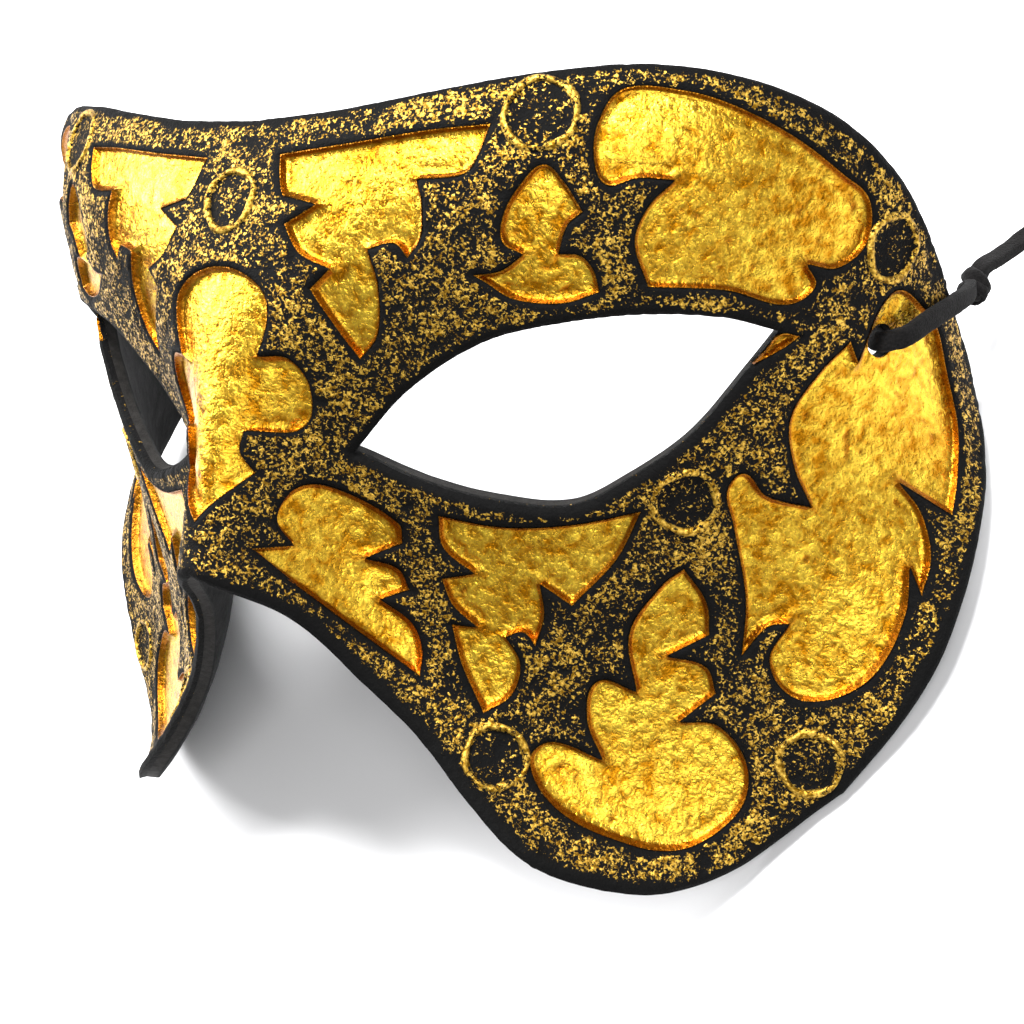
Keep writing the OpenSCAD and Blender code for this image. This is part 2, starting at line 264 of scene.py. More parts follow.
def lace(name, path, up, width=CORD_W, thick=CORD_T, fuzz=0.06, seed=1):
    """A flat suede lace: a rounded rectangle swept along path, its broad faces looking along up."""
    path = np.asarray(path, float)
    n = len(path)
    along = unit(np.gradient(path, axis=0))
    wide = unit(np.cross(np.broadcast_to(up, path.shape), along))
    high = np.cross(along, wide)
    sides = 20
    a = 2 * np.pi * (np.arange(sides) + 0.5) / sides
    power = 0.45
    cx = np.sign(np.cos(a)) * np.abs(np.cos(a)) ** power * width / 2
    cy = np.sign(np.sin(a)) * np.abs(np.sin(a)) ** power * thick / 2
    points = path[:, None] + wide[:, None] * cx[None, :, None] + high[:, None] * cy[None, :, None]
    flat = points.reshape(-1, 3)
    out = flat - np.repeat(path, sides, 0)
    flat = flat + unit(out) * (fuzz * noise(flat, 0.5, seed) + fuzz * noise(flat, 1.3, seed + 1))[:, None]
    faces = []
    for k in range(n - 1):
        for m in range(sides):
            b = (m + 1) % sides
            faces.append((k * sides + m, k * sides + b, (k + 1) * sides + b, (k + 1) * sides + m))
    faces.append(tuple(range(sides - 1, -1, -1)))
    faces.append(tuple((n - 1) * sides + m for m in range(sides)))
    return make_object(name, flat, faces, 55)


def resample(path, step):
    path = np.asarray(path, float)
    run = np.concatenate([[0], np.cumsum(np.linalg.norm(np.diff(path, axis=0), axis=1))])
    count = max(int(run[-1] / step), 2)
    u = np.linspace(0, run[-1], count + 1)
    return np.stack([np.interp(u, run, path[:, k]) for k in range(3)], 1), run[-1]


def coil_path(centre):
    """A flat spiral inward, clockwise from its -X side."""
    count = TURN_STEPS * COIL_TURNS
    u = np.arange(1, count + 1) / TURN_STEPS
    a = np.radians(180 - 360 * u)
    r = COIL_R - COIL_PITCH * u
    return np.stack([centre[0] + r * np.cos(a), centre[1] + r * np.sin(a), np.full(count, CORD_T / 2)], 1)


def make_ties():
    pieces = {}
    for side, x in SIDES:
        knot = at(*[np.array(v, float) for v in KNOT_AT]) * (x, 1, 1)
        tie = TIES[side]
        stops = [knot] + [np.array(p, float) for p in tie["route"]]
        route = smooth(stops, np.linspace(0, 1, ROUTE_STEPS))
        path, length = resample(np.concatenate([route, coil_path(tie["coil"])]), LACE_STEP)
        cord = lace(f"lace_{side}", path, (0, 0, 1))
        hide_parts(f"tie_cord_{side}", f"tie_coil_{side}")

        places = smooth(LOOP, np.linspace(0, 1, LOOP_STEPS))
        loop_path = at(places[:, 0], places[:, 1], places[:, 2]) * (x, 1, 1)
        ups = axes(places[:, 0], places[:, 1])
        bend = ramp(np.arange(LOOP_STEPS), 34, 40)[:, None]
        back = ramp(np.arange(LOOP_STEPS), 50, 56)[:, None]
        up = unit((1 - bend) * ups[2] + bend * (1 - back) * -ups[0] - back * ups[2]) * (x, 1, 1)
        loop = lace(f"lace_loop_{side}", loop_path, up, seed=7)
        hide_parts(f"tie_loop_{side}")

        knot_piece = make_knot(side, knot, route)
        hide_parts(f"tie_knot_{side}")
        band = make_band(side, tie["coil"])
        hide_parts(f"coil_band_{side}")
        pieces[side] = [cord, loop, knot_piece, band]
    return pieces


def make_knot(side, centre, route):
    """An overhand knot: two wraps that cross, drawn tight over the strands inside."""
    along = unit(route[8] - route[0])
    across = unit(np.cross(along, (0, 0, 1)))
    over = np.cross(across, along)
    points, faces = [], []
    for wrap, (lead, roll) in enumerate(((0.9, 24), (-0.9, -28), (0.1, 78))):
        roll = math.radians(roll)
        axis = along * math.cos(roll) + across * math.sin(roll)
        side_axis = unit(np.cross(axis, over))
        top = np.cross(side_axis, axis)
        rings, sides = 40, 14
        radius = 1.75 if wrap < 2 else 1.5
        for k in range(rings):
            a = 2 * math.pi * k / rings
            out = side_axis * math.cos(a) + top * math.sin(a)
            mid = centre + along * lead + out * radius
            for m in range(sides):
                b = 2 * math.pi * m / sides
                points.append(mid + axis * 1.25 * math.cos(b) + out * 0.8 * math.sin(b))
        base = wrap * rings * sides
        for k in range(rings):
            for m in range(sides):
                k2, m2 = (k + 1) % rings, (m + 1) % sides
                near_row, far_row = base + k * sides, base + k2 * sides
                faces.append((near_row + m, near_row + m2, far_row + m2, far_row + m))
    points = np.array(points)
    points += unit(points - centre) * (0.14 * noise(points, 0.6, 5) + 0.12 * noise(points, 1.5, 6))[:, None]
    return make_object(f"knot_{side}", points, faces, 60)


def make_band(side, coil):
    """A short lace end that wraps across the coil's turns and holds them."""
    r_out = COIL_R + CORD_W / 2
    r_in = r_out - (COIL_TURNS + 0.4) * COIL_PITCH
    x0, x1 = coil[0] + r_in - 0.1, coil[0] + r_out + 0.3
    top = CORD_T + 0.3
    path = [(x0, 0.35), (x0 - 0.1, 1.2), (x0 + 0.7, top), (x0 + 4, top), (x1 - 4, top), (x1 - 0.7, top),
            (x1 + 0.1, 1.2), (x1, 0.35)]
    path = smooth([(p[0], coil[1], p[1]) for p in path], np.linspace(0, 1, 50))
    centre = np.array([(x0 + x1) / 2, coil[1], 0])
    return lace(f"band_{side}", path, unit(path - centre), width=2.8, thick=0.5, fuzz=0.04, seed=9)


tie_pieces = make_ties()


# ---- outlines, each in the frame of the outer face at its own place ----
# A third value of 1 marks a tip; the outline is round everywhere else
EYE_AT = (48, 6)
EYE = [(-30, -12, 1), (-22, -1), (-11, 8), (0, 12), (11, 14), (22, 14), (30, 12, 1), (26, 6), (19, -4),
       (11, -11), (3, -16), (-8, -16.5), (-20, -15)]
NOSE_AT = (0, 3)
NOSE_HALF = [(0, 19), (5, 18), (9, 15), (9.5, 11), (8, 6, 1), (12, 6), (14, 2), (12, -4), (6, -5, 1),
             (5.5, -8), (7, -11, 1), (0, -19, 1)]
NOSE = NOSE_HALF + [(-p[0], *p[1:]) for p in NOSE_HALF[-2:0:-1]]
INLAYS = {
    "wing_inlay": ((22, 26), [
        (-17, 12, 1), (-16, 8), (-15, 6, 1), (-9, 5, 1), (-14, 2, 1), (-11, -2), (-6, -4, 1),
        (-9, -7, 1), (-2, -17, 1), (1, -13), (1.5, -6), (0, -1, 1), (4, 0), (6, -2, 1), (8, 1), (8, 6),
        (7, 9, 1), (14, 10), (16, 13), (17, 17, 1), (8, 16), (-4, 14)]),
    "brow_inlay": ((44, 28), [
        (0, 10), (3, 8), (6, 4, 1), (4, 2), (3, -2, 1), (6, -2), (8, -4), (9, -7, 1), (4, -9),
        (-3, -9), (-7, -7), (-9, -6, 1), (-5, -5), (-2, -2.5, 1), (-5, -1), (-5, 3), (-3, 7)]),
    "temple_inlay": ((69, 36), [
        (-18, 12), (-21, 7), (-21, 2), (-19, -1), (-15, 0.5), (-10, 1, 1), (-13, -3), (-14, -8),
        (-11, -14, 1), (0, -13), (9, -14), (13, -11), (11, -8, 1), (16, -8), (20, -4), (19, 2),
        (14, 5), (6, 9), (-3, 12), (-10, 13)]),
    "side_inlay": ((92, -3), [
        (3, 31), (8, 29), (12, 26), (15, 20), (18, 12), (18, 5), (17, -1, 1), (8, 3, 1), (12, -1),
        (14, -7), (13, -13, 1), (11, -9, 1), (11, -16), (8, -25), (3, -30), (-3, -31), (-7, -26),
        (-5, -20, 1), (-8, -21), (-11, -26, 1), (-12, -17), (-16, -6), (-18, -1), (-16, 2), (-12, -1),
        (-5, -2, 1), (-9, 4), (-11, 11), (-8, 18), (-4, 23, 1), (-2, 20, 1), (0, 28)]),
    "eye_corner_inlay": ((77, 16), [
        (-3, -2, 1), (-1.5, 0.5), (0, 3), (3, 3, 1), (1, 1)]),
    "inner_cheek_inlay": ((17, -22), [
        (-16, 3, 1), (-10, 4, 1), (-13, 8), (-10, 13), (-4, 13), (5, 9), (6, 6, 1), (1, 3, 1), (6, 2),
        (8, -1, 1), (4, -3, 1), (9, -6), (11, -10), (11, -14, 1), (-4, -5)]),
    "middle_cheek_inlay": ((46, -25), [
        (-15, 14, 1), (-5, 13.5), (5, 15), (15, 18, 1), (12, 10), (6, 2, 1), (1, 5, 1), (2, 0),
        (1, -5, 1), (-1, -3), (-3.5, -4, 1), (-1, -8), (-2, -13), (-6, -16, 1), (-10, -9),
        (-12, -3, 1), (-8, -3, 1), (-12, 0), (-14, 4, 1), (-9, 5.5, 1), (-14, 9)]),
    "lower_cheek_inlay": ((66, -37), [
        (4, 22, 1), (8, 17), (9, 12, 1), (3, 8, 1), (9, 7), (11, 3, 1), (6, -2, 1), (12, -2), (17, -8),
        (16, -15), (8, -21), (-3, -20), (-12, -16), (-16, -10), (-13, -7), (-5, -9, 1), (-8, -3),
        (-7, 3), (-1, 2, 1), (-3, 11), (1, 19)]),
}
RING_D = 10.5
RINGS = {"ring_brow": ((43, 45), 11.5), "ring_temple": ((92, 33), RING_D),
         "ring_under_eye": ((68, -6), RING_D), "ring_inner_cheek": ((42, -47), RING_D),
         "ring_outer_cheek": ((93, -43), RING_D)}
RING_CENTRE = ((0, 32), RING_D)
RING_BAND = 1.2
TIE_HOLE_AT = (94, 20)
TIE_HOLE_D = 5.0


class Local:
    """The frame of the outer face at a place, mirrored for the wearer's right."""

    def __init__(self, place, x=1):
        s, t = (np.array(v, float) for v in place)
        self.place = (float(s), float(t))
        self.flip = np.array([x, 1, 1])
        self.origin = at(s, t)
        self.basis = np.stack(axes(s, t))

    def uvw(self, p):
        return (np.asarray(p) * self.flip - self.origin) @ self.basis.T

    def straight(self, uvw):
        return (self.origin + np.asarray(uvw, float) @ self.basis) * self.flip

    def on_face(self, uv, d):
        """Points over (u, v), at depth d from the curved outer face."""
        uv = np.asarray(uv, float)
        s = self.place[0] + uv[:, 0]
        t = self.place[1] + uv[:, 1]
        d = np.broadcast_to(d, s.shape)
        for _ in range(6):
            now = (at(s, t, d) - self.origin) @ self.basis.T
            s = s + uv[:, 0] - now[:, 0]
            t = t + uv[:, 1] - now[:, 1]
        return at(s, t, d) * self.flip


def curve(points, step=0.5):
    """A closed line through points, round everywhere except at the tips."""
    p = np.array([q[:2] for q in points], float)
    sharp = [len(q) == 3 for q in points]
    n = len(p)
    after = np.roll(p, -1, 0) - p
    heading = unit(after)
    tangent = unit(np.roll(p, -1, 0) - np.roll(p, 1, 0))
    line = []
    for k in range(n):
        m = (k + 1) % n
        size = np.linalg.norm(after[k])
        ma = (heading[k] if sharp[k] else tangent[k]) * size
        mb = (heading[k] if sharp[m] else tangent[m]) * size
        count = max(int(round(size / step)), 1)
        f = (np.arange(count) / count)[:, None]
        line.append(hermite(p[k], p[m], ma, mb, f))
    line = np.concatenate(line)
    x, y = line.T
    if (x * np.roll(y, -1) - y * np.roll(x, -1)).sum() < 0:
        line = line[::-1]
    return line


def distance(points, loop, closed=True):
    """Distance from each 2D point to a line, and which points lie inside it."""
    a = loop
    b = np.roll(loop, -1, 0)
    if not closed:
        a, b = loop[:-1], loop[1:]
    ab = b - a
    square = np.maximum((ab * ab).sum(1), 1e-12)
    near = np.empty(len(points))
    inside = np.zeros(len(points), bool)
    for k in range(0, len(points), 20000):
        p = points[k:k + 20000, None]
        f = np.clip(((p - a) * ab).sum(2) / square, 0, 1)
        gap = p - (a + f[..., None] * ab)
        near[k:k + 20000] = np.sqrt((gap * gap).sum(2).min(1))
        cross = (a[:, 1] > p[..., 1]) != (b[:, 1] > p[..., 1])
        dy = np.where(np.abs(ab[:, 1]) < 1e-12, 1e-12, ab[:, 1])
        hit = cross & (p[..., 0] < a[:, 0] + (p[..., 1] - a[:, 1]) / dy * ab[:, 0])
        inside[k:k + 20000] = hit.sum(1) % 2 == 1
    return near, inside


def inward(loop):
    """Midpoints of a closed line's stretches and their inward directions."""
    step = np.roll(loop, -1, 0) - loop
    return loop + step / 2, unit(np.stack([-step[:, 1], step[:, 0]], 1))


# ---- cutting ----
def prism(local, loop, low=-14.0, high=6.0):
    n = len(loop)
    points = np.concatenate([local.straight(np.c_[loop, np.full(n, w)]) for w in (low, high)])
    faces = [tuple(range(n - 1, -1, -1)), tuple(range(n, 2 * n))]
    faces += [(k, (k + 1) % n, n + (k + 1) % n, n + k) for k in range(n)]
    if local.flip[0] < 0:
        faces = [f[::-1] for f in faces]
    return points, faces


def join(parts):
    points, faces, base = [], [], 0
    for p, f in parts:
        points.append(p)
        faces += [tuple(k + base for k in face) for face in f]
        base += len(p)
    return np.concatenate(points), faces


def triangulated(mesh):
    bm = bmesh.new()
    bm.from_mesh(mesh)
    bmesh.ops.triangulate(bm, faces=bm.faces[:])
    bm.to_mesh(mesh)
    bm.free()


def cut(obj, parts):
    tool = make_object("tool", *join(parts), smooth_angle=0)
    triangulated(tool.data)
    modifier = obj.modifiers.new("cut", "BOOLEAN")
    modifier.operation = "DIFFERENCE"
    modifier.solver = "MANIFOLD"
    modifier.object = tool
    graph = bpy.context.evaluated_depsgraph_get()
    mesh = bpy.data.meshes.new_from_object(obj.evaluated_get(graph))
    obj.modifiers.clear()
    old = obj.data
    mesh.name = obj.name
    obj.data = mesh
    bpy.data.meshes.remove(old)
    bpy.data.meshes.remove(tool.data)


def crease(obj, degrees):
    obj.data.shade_smooth()
    obj.data.set_sharp_from_angle(angle=math.radians(degrees))


def circle(radius, count=40):
    a = np.linspace(0, 2 * np.pi, count, endpoint=False)
    return np.stack([radius * np.cos(a), radius * np.sin(a)], 1)


EYE_LINE = curve(EYE)
INLAY_LINES = {name: curve(points) for name, (place, points) in INLAYS.items()}
NOSE_LINE = curve(NOSE)
HOLE_LINE = circle(TIE_HOLE_D / 2)


def eye_tools():
    return [prism(Local(EYE_AT, x), EYE_LINE) for _, x in SIDES]


def hole_tools():
    return [prism(Local(TIE_HOLE_AT, x), HOLE_LINE) for _, x in SIDES]


# ---- layers ----
LAYER_CREASE = 50
PAN_CREASE = 60
FAR = 99.0
NOSE_REACH = 26
WINDOW_REACH = 42
RING_REACH = 12


def layer(name, d_in, d_out, columns, rows, shift_out=None, shift_in=None, angle=LAYER_CREASE):
    """A closed layer over the whole outline, between two depths, with a shift added on either face."""
    outs, ins = (grid(columns, rows, RIM_TAPER * max(-d, 0)) for d in (d_out, d_in))
    w, last = rows + 1, 2 * columns
    n = w * (last + 1)
    faces_out = np.zeros(n) if shift_out is None else shift_out
    faces_in = np.zeros(n) if shift_in is None else shift_in
    points = np.concatenate([
        at(outs[..., 0].ravel(), outs[..., 1].ravel(), d_out + faces_out),
        at(ins[..., 0].ravel(), ins[..., 1].ravel(), d_in + faces_in)])
    points[:, 2] = np.maximum(points[:, 2], 0)
    i, j = (v.ravel() for v in np.meshgrid(np.arange(last), np.arange(rows), indexing="ij"))
    k = i * w + j
    quads = [np.stack([k, k + w, k + w + 1, k + 1], 1), np.stack([k, k + 1, k + w + 1, k + w], 1) + n]
    rim = np.concatenate([np.arange(last) * w, last * w + np.arange(rows), np.arange(last, 0, -1) * w + rows,
                          np.arange(rows, 0, -1)])
    after = np.roll(rim, -1)
    quads.append(np.stack([rim, rim + n, after + n, after], 1))
    return make_object(name, points, np.concatenate(quads).tolist(), angle)


def relief_heights(columns, rows):
    """Height and gold of the stucco at each point of the relief's outer grid."""
    st = grid(columns, rows).reshape(-1, 2)
    p = at(st[:, 0], st[:, 1])
    window = np.full(len(p), FAR)
    rim_line = np.concatenate([smooth(LOWER_EDGE, np.linspace(0, 1, 160))[:-1],
                               smooth(TEMPLE_EDGE, np.linspace(0, 1, 120))[:-1],
                               smooth(UPPER_EDGE, np.linspace(1, 0, 160))])
    half = np.stack([np.abs(st[:, 0]), st[:, 1]], 1)
    rim = distance(half, rim_line, closed=False)[0]
    eye = np.full(len(p), FAR)
    disc = np.full(len(p), FAR)

    def near(place, x, line, reach, store):
        local = Local(place, x)
        away = np.abs(st - (x * place[0], place[1])).max(1)
        pick = np.nonzero(away < reach)[0]
        uv = local.uvw(p[pick])[:, :2]
        gap, inside = distance(uv, line)
        store[pick] = np.minimum(store[pick], np.where(inside, -gap, gap))

    near(NOSE_AT, 1, NOSE_LINE, NOSE_REACH, window)
    for _, x in SIDES:
        near(EYE_AT, x, EYE_LINE, WINDOW_REACH, eye)
        for name, (place, _points) in INLAYS.items():
            near(place, x, INLAY_LINES[name], WINDOW_REACH, window)
        for place, size in RINGS.values():
            near(place, x, circle(size / 2 - RING_BAND), RING_REACH, disc)
    near(RING_CENTRE[0], 1, circle(RING_CENTRE[1] / 2 - RING_BAND), RING_REACH, disc)

    grain = 0.55 * noise(p, 1.5, 11) + 0.45 * noise(p, 0.95, 12)
    swell = 0.6 * noise(p, 6, 13) + 0.4 * noise(p, 3, 14)
    pits = ramp(-noise(p, 1.9, 15), 0.25, 0.8) * (0.4 + 0.6 * ramp(noise(p, 9, 16), -0.3, 0.5))
    height = 0.13 * grain + 0.1 * swell - 0.22 * pits

    def rounding(x, radius):
        f = np.clip(1 - x / radius, 0, 1)
        return radius * (1 - np.sqrt(np.clip(1 - f * f, 0, 1)))

    inside_disc = ramp(-disc, -0.4, 0.4)
    height = height * (1 - 0.4 * inside_disc) - 0.22 * inside_disc
    height *= ramp(window, -0.2, 0.8) * 0.6 + 0.4
    height -= np.minimum(rounding(np.maximum(window, 0), 0.7), 0.5) + rounding(rim, 1.5) * 0.75
    height -= np.minimum(rounding(np.maximum(eye, 0), 1.3), 1.0)
    black = np.maximum(1 - ramp(rim + 0.6 * swell, 0.5, 2.0), 1 - ramp(eye + 0.5 * swell, 0.4, 1.7))
    black = np.maximum(black, 0.2 * inside_disc)
    # Along the window edges the gold is taken off to black: painted shade on the rounded edges that turn away.
    black = np.maximum(black, 0.7 * (1 - ramp(window + 0.3 * swell, 0.3, 1.0)))
    gold = 0.5 + 0.22 * grain + 0.2 * swell - 0.45 * pits - 0.95 * black
    return height, gold


def make_relief():
    columns, rows = 230, 205
    height, gold = relief_heights(columns, rows)
    relief = layer("relief_shell", -RELIEF_T, 0.0, columns, rows, height)
    set_attribute(relief, "gold", np.concatenate([gold, np.zeros(len(gold))]))
    tools = eye_tools() + [prism(Local(NOSE_AT), NOSE_LINE)]
    for name, (place, _) in INLAYS.items():
        tools += [prism(Local(place, x), INLAY_LINES[name]) for _, x in SIDES]
    cut(relief, tools)
    cut(relief, hole_tools())
    crease(relief, LAYER_CREASE)
    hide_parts("relief_layer")
    return relief


def make_shell():
    columns, rows = 100, 90
    st = grid(columns, rows, RIM_TAPER * RELIEF_T).reshape(-1, 2)
    p = at(st[:, 0], st[:, 1])
    shell = layer("paper_shell", -RELIEF_T - BASE_T, -RELIEF_T, columns, rows)
    cut(shell, eye_tools())
    cut(shell, hole_tools())
    crease(shell, LAYER_CREASE)
    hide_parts("base_shell")
    rough = 0.1 * noise(p, 2.2, 21) + 0.06 * noise(p, 5, 22)
    lining = layer("paper_lining", -SHELL_T, -RELIEF_T - BASE_T, columns, rows, None, rough)
    cut(lining, eye_tools())
    cut(lining, hole_tools())
    crease(lining, LAYER_CREASE)
    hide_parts("inner_lining")
    return shell, lining


# ---- gilded inlays ----
PAN_ROWS = (0.26, 0.42, 0.6, 0.82, 1.15, 1.5, 1.85)
PAN_PROFILE = [(0.0, -0.36), (0.1, -0.32), (0.26, -0.36), (0.42, -0.95), (0.6, -1.32), (0.82, -1.44),
               (1.15, -1.46), (1.5, -1.53), (1.85, -1.46), (2.6, -1.4), (FAR, -1.4)]
LIP_LAP = 0.1
BACK_LAP = 0.02


def fill(points, border):
    """Triangles between points inside a closed border, and the vertex of each of the border's points."""
    count = len(border)
    verts, _, tris, owners, _, _ = geometry.delaunay_2d_cdt([Vector(p) for p in points], [],
                                                            [list(range(count))], 1, 1e-5, True)
    uv = np.array([tuple(p) for p in verts])
    kept = distance(uv[np.array(tris)].mean(1), border)[1]
    order = np.full(count, -1)
    for new, old in enumerate(owners):
        for k in old:
            if k < count:
                order[k] = new
    return uv, [tuple(f) for f, good in zip(tris, kept) if good], order


def make_inlay(name, node, place, line, x, seed, spacing=0.48):
    """A thin gilded pan: a lip at the window's edge, a sloped wall, a groove and a hammered floor."""
    local = Local(place, x)
    middle, normal = inward(line)
    border = line + unit(normal + np.roll(normal, 1, 0)) * LIP_LAP
    points = [border]
    for row in PAN_ROWS:
        ring = middle + normal * row
        points.append(ring[distance(ring, line)[0] > row * 0.94])
    low, high = line.min(0), line.max(0)
    u, v = np.meshgrid(np.arange(low[0], high[0], spacing), np.arange(low[1], high[1], spacing * 0.87))
    u = u + np.where(np.arange(u.shape[0]) % 2, spacing / 2, 0)[:, None]
    inner = np.stack([u.ravel(), v.ravel()], 1)
    gap, inside = distance(inner, line)
    points.append(inner[inside & (gap > PAN_ROWS[-1] + 0.25)])
    count = len(border)
    uv, tris, order = fill(np.concatenate(points), border)
    coarse = inner[::7]
    coarse = coarse[(distance(coarse, line)[0] > 1.2) & distance(coarse, line)[1]]
    base_uv, base_tris, base_order = fill(np.concatenate([border, coarse]), border)
    gap = distance(uv, line)[0]
    depth = np.interp(gap, *np.array(PAN_PROFILE).T)
    floor = ramp(gap, 0.7, 2.0)
    p = local.on_face(uv, depth)
    hammer = 0.55 * noise(p, 2.1, seed) + 0.45 * noise(p, 1.25, seed + 1)
    wave = noise(p, 7, seed + 2)
    dents = ramp(-noise(p, 1.6, seed + 3), 0.62, 0.9)
    relief = floor * (0.085 * hammer + 0.07 * wave - 0.16 * dents) + (1 - floor) * 0.05 * hammer
    p = local.on_face(uv, depth + relief)
    q = local.on_face(base_uv, -RELIEF_T + BACK_LAP)
    n = len(p)
    faces = tris + [tuple(n + k for k in f[::-1]) for f in base_tris]
    for k in range(count):
        m = (k + 1) % count
        faces.append((order[k], n + base_order[k], n + base_order[m], order[m]))
    if x < 0:
        faces = [f[::-1] for f in faces]
    pan = make_object(name, np.concatenate([p, q]), faces, PAN_CREASE)
    # The walls and the dents are marked to be painted darker orange: painted shade in the recesses.
    wall = np.concatenate([1 - ramp(gap, 0.5, 1.0), np.ones(len(q))])
    # The floor tone rises with the hammered bumps: lighter on their tops and darker in their hollows, painted
    # light and shade.
    shade_and_tone = np.concatenate([0.5 + 0.3 * hammer + 0.25 * wave, np.zeros(len(q))])
    pits = np.concatenate([dents * floor, np.zeros(len(q))])
    set_attribute(pan, "wall", wall)
    set_attribute(pan, "shade_and_tone", shade_and_tone)
    set_attribute(pan, "pit", pits)
    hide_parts(node)
    return pan


def make_inlays():
    pans = [make_inlay("gilding_nose", "nose_inlay", NOSE_AT, NOSE_LINE, 1, 100)]
    for index, (name, (place, _points)) in enumerate(INLAYS.items()):
        for side, x in SIDES:
            pan = make_inlay(f"gilding_{name[:-6]}_{side}", f"{name}_{side}", place, INLAY_LINES[name], x,
                             120 + 20 * index + (7 if x < 0 else 0))
            if name == "side_inlay":
                cut(pan, [prism(Local(TIE_HOLE_AT, x), HOLE_LINE)])
                crease(pan, PAN_CREASE)
            pans.append(pan)
    return pans


# ---- rings ----
def make_ring(node, place, size, x, seed):
    """A raised band that follows the face, with an uneven hand-made top."""
    local = Local(place, x)
    steps, sides = 96, 12
    a = 2 * np.pi * np.arange(steps) / steps
    b = np.pi * np.arange(sides) / (sides - 1)
    wobble = 0.12 * np.sin(3 * a + seed) + 0.09 * np.sin(5 * a + 2 * seed)
    middle = size / 2 - RING_BAND / 2 + wobble
    width = RING_BAND / 2 * (1 + 0.18 * np.sin(4 * a + seed * 1.7))
    r = middle[:, None] + width[:, None] * np.cos(b)[None]
    uv = np.stack([r * np.cos(a)[:, None], r * np.sin(a)[:, None]], -1).reshape(-1, 2)
    rise = np.tile(0.62 * np.sin(b) - 0.22, steps)
    p = local.on_face(uv, rise)
    rough = 0.1 * noise(p, 1.1, seed) + 0.08 * noise(p, 2.3, seed + 1)
    p = local.on_face(uv, rise + rough * np.tile(np.sin(b), steps))
    faces = []
    for k in range(steps):
        k2 = (k + 1) % steps
        for m in range(sides):
            m2 = (m + 1) % sides
            faces.append((k * sides + m, k2 * sides + m, k2 * sides + m2, k * sides + m2))
    if x < 0:
        faces = [f[::-1] for f in faces]
    ring = make_object(f"bead_{node[5:]}", p, faces, 60)
    gold = 0.62 + 2.4 * rough + 0.3 * np.tile(np.sin(b), steps)
    set_attribute(ring, "gold", gold)
    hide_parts(node)
    return ring


def make_rings():
    rings = [make_ring("ring_brow_centre", RING_CENTRE[0], RING_CENTRE[1], 1, 31)]
    for index, (name, (place, size)) in enumerate(RINGS.items()):
        for side, x in SIDES:
            rings.append(make_ring(f"{name}_{side}", place, size, x, 40 + 4 * index + (2 if x < 0 else 0)))
    return rings


# ---- materials ----
class Nodes:
    """A material's node tree, built from short calls."""

    def __init__(self, name):
        self.material = bpy.data.materials.new(name)
        self.material.use_nodes = True
        self.tree = self.material.node_tree
        self.shader = self.tree.nodes["Principled BSDF"]

    def add(self, kind, inputs=None, **settings):
        node = self.tree.nodes.new(kind)
        for key, value in settings.items():
            setattr(node, key, value)
        for key, value in (inputs or {}).items():
            self.put(node.inputs[key], value)
        return node

    def put(self, socket, value):
        if isinstance(value, bpy.types.NodeSocket):
            self.tree.links.new(value, socket)
        else:
            socket.default_value = value

    def place(self):
        return self.add("ShaderNodeTexCoord").outputs["Object"]

    def noise(self, scale, detail=3.0, rough=0.55, distortion=0.0, place=None):
        node = self.add("ShaderNodeTexNoise", {"Scale": scale, "Detail": detail, "Roughness": rough,
                                               "Distortion": distortion, "Vector": place or self.place()})
        return node.outputs["Fac"]

    def attribute(self, name):
        return self.add("ShaderNodeAttribute", attribute_name=name).outputs["Fac"]

    def math(self, operation, a, b=0.0, clamp=False):
        node = self.add("ShaderNodeMath", {0: a, 1: b}, operation=operation, use_clamp=clamp)
        return node.outputs[0]

    def range(self, value, low, high, to_low=0.0, to_high=1.0):
        return self.add("ShaderNodeMapRange", {"Value": value, "From Min": low, "From Max": high,
                                               "To Min": to_low, "To Max": to_high}).outputs["Result"]

    def mix(self, factor, a, b):
        node = self.add("ShaderNodeMix", data_type="RGBA")
        for index, value in ((0, factor), (6, a), (7, b)):
            self.put(node.inputs[index], value)
        return node.outputs[2]

    def bump(self, height, strength, mm, before=None):
        inputs = {"Height": height, "Strength": strength, "Distance": mm * MM}
        if before is not None:
            inputs["Normal"] = before
        return self.add("ShaderNodeBump", inputs).outputs["Normal"]

    def finish(self, **sockets):
        for key, value in sockets.items():
            self.put(self.shader.inputs[key.replace("_", " ")], value)
        return self.material


def rgb(r, g, b):
    return (r, g, b, 1.0)


def stucco_material():
    """Black stucco with gold dry-brushed on its high places, taken off along the window edges as painted shade,
    with bright spots in the gold as painted glints.
    """
    n = Nodes("gold_brushed_stucco")
    fine = n.noise(2100, 3, 0.6, 0.6)
    broad = n.noise(800, 2, 0.5)
    value = n.math("ADD", n.attribute("gold"), n.math("MULTIPLY", n.math("SUBTRACT", fine, 0.5), 3.2))
    value = n.math("ADD", value, n.math("MULTIPLY", n.math("SUBTRACT", broad, 0.5), 1.2))
    cover = n.range(value, 0.58, 0.76)
    # The brushed gold runs from dark brown to bright gold in small spots: painted glints.
    gold = n.mix(n.range(n.noise(1500, 2), 0.4, 0.62), rgb(0.20, 0.10, 0.006), rgb(0.70, 0.44, 0.07))
    colour = n.mix(cover, rgb(0.004, 0.004, 0.004), gold)
    grain = n.math("ADD", fine, n.math("MULTIPLY", broad, 0.8))
    return n.finish(Base_Color=colour, Metallic=n.math("MULTIPLY", cover, 0.8), Specular_IOR_Level=0.05,
                    Roughness=n.range(cover, 0, 1, 0.68, 0.34), Normal=n.bump(grain, 0.8, 0.3))


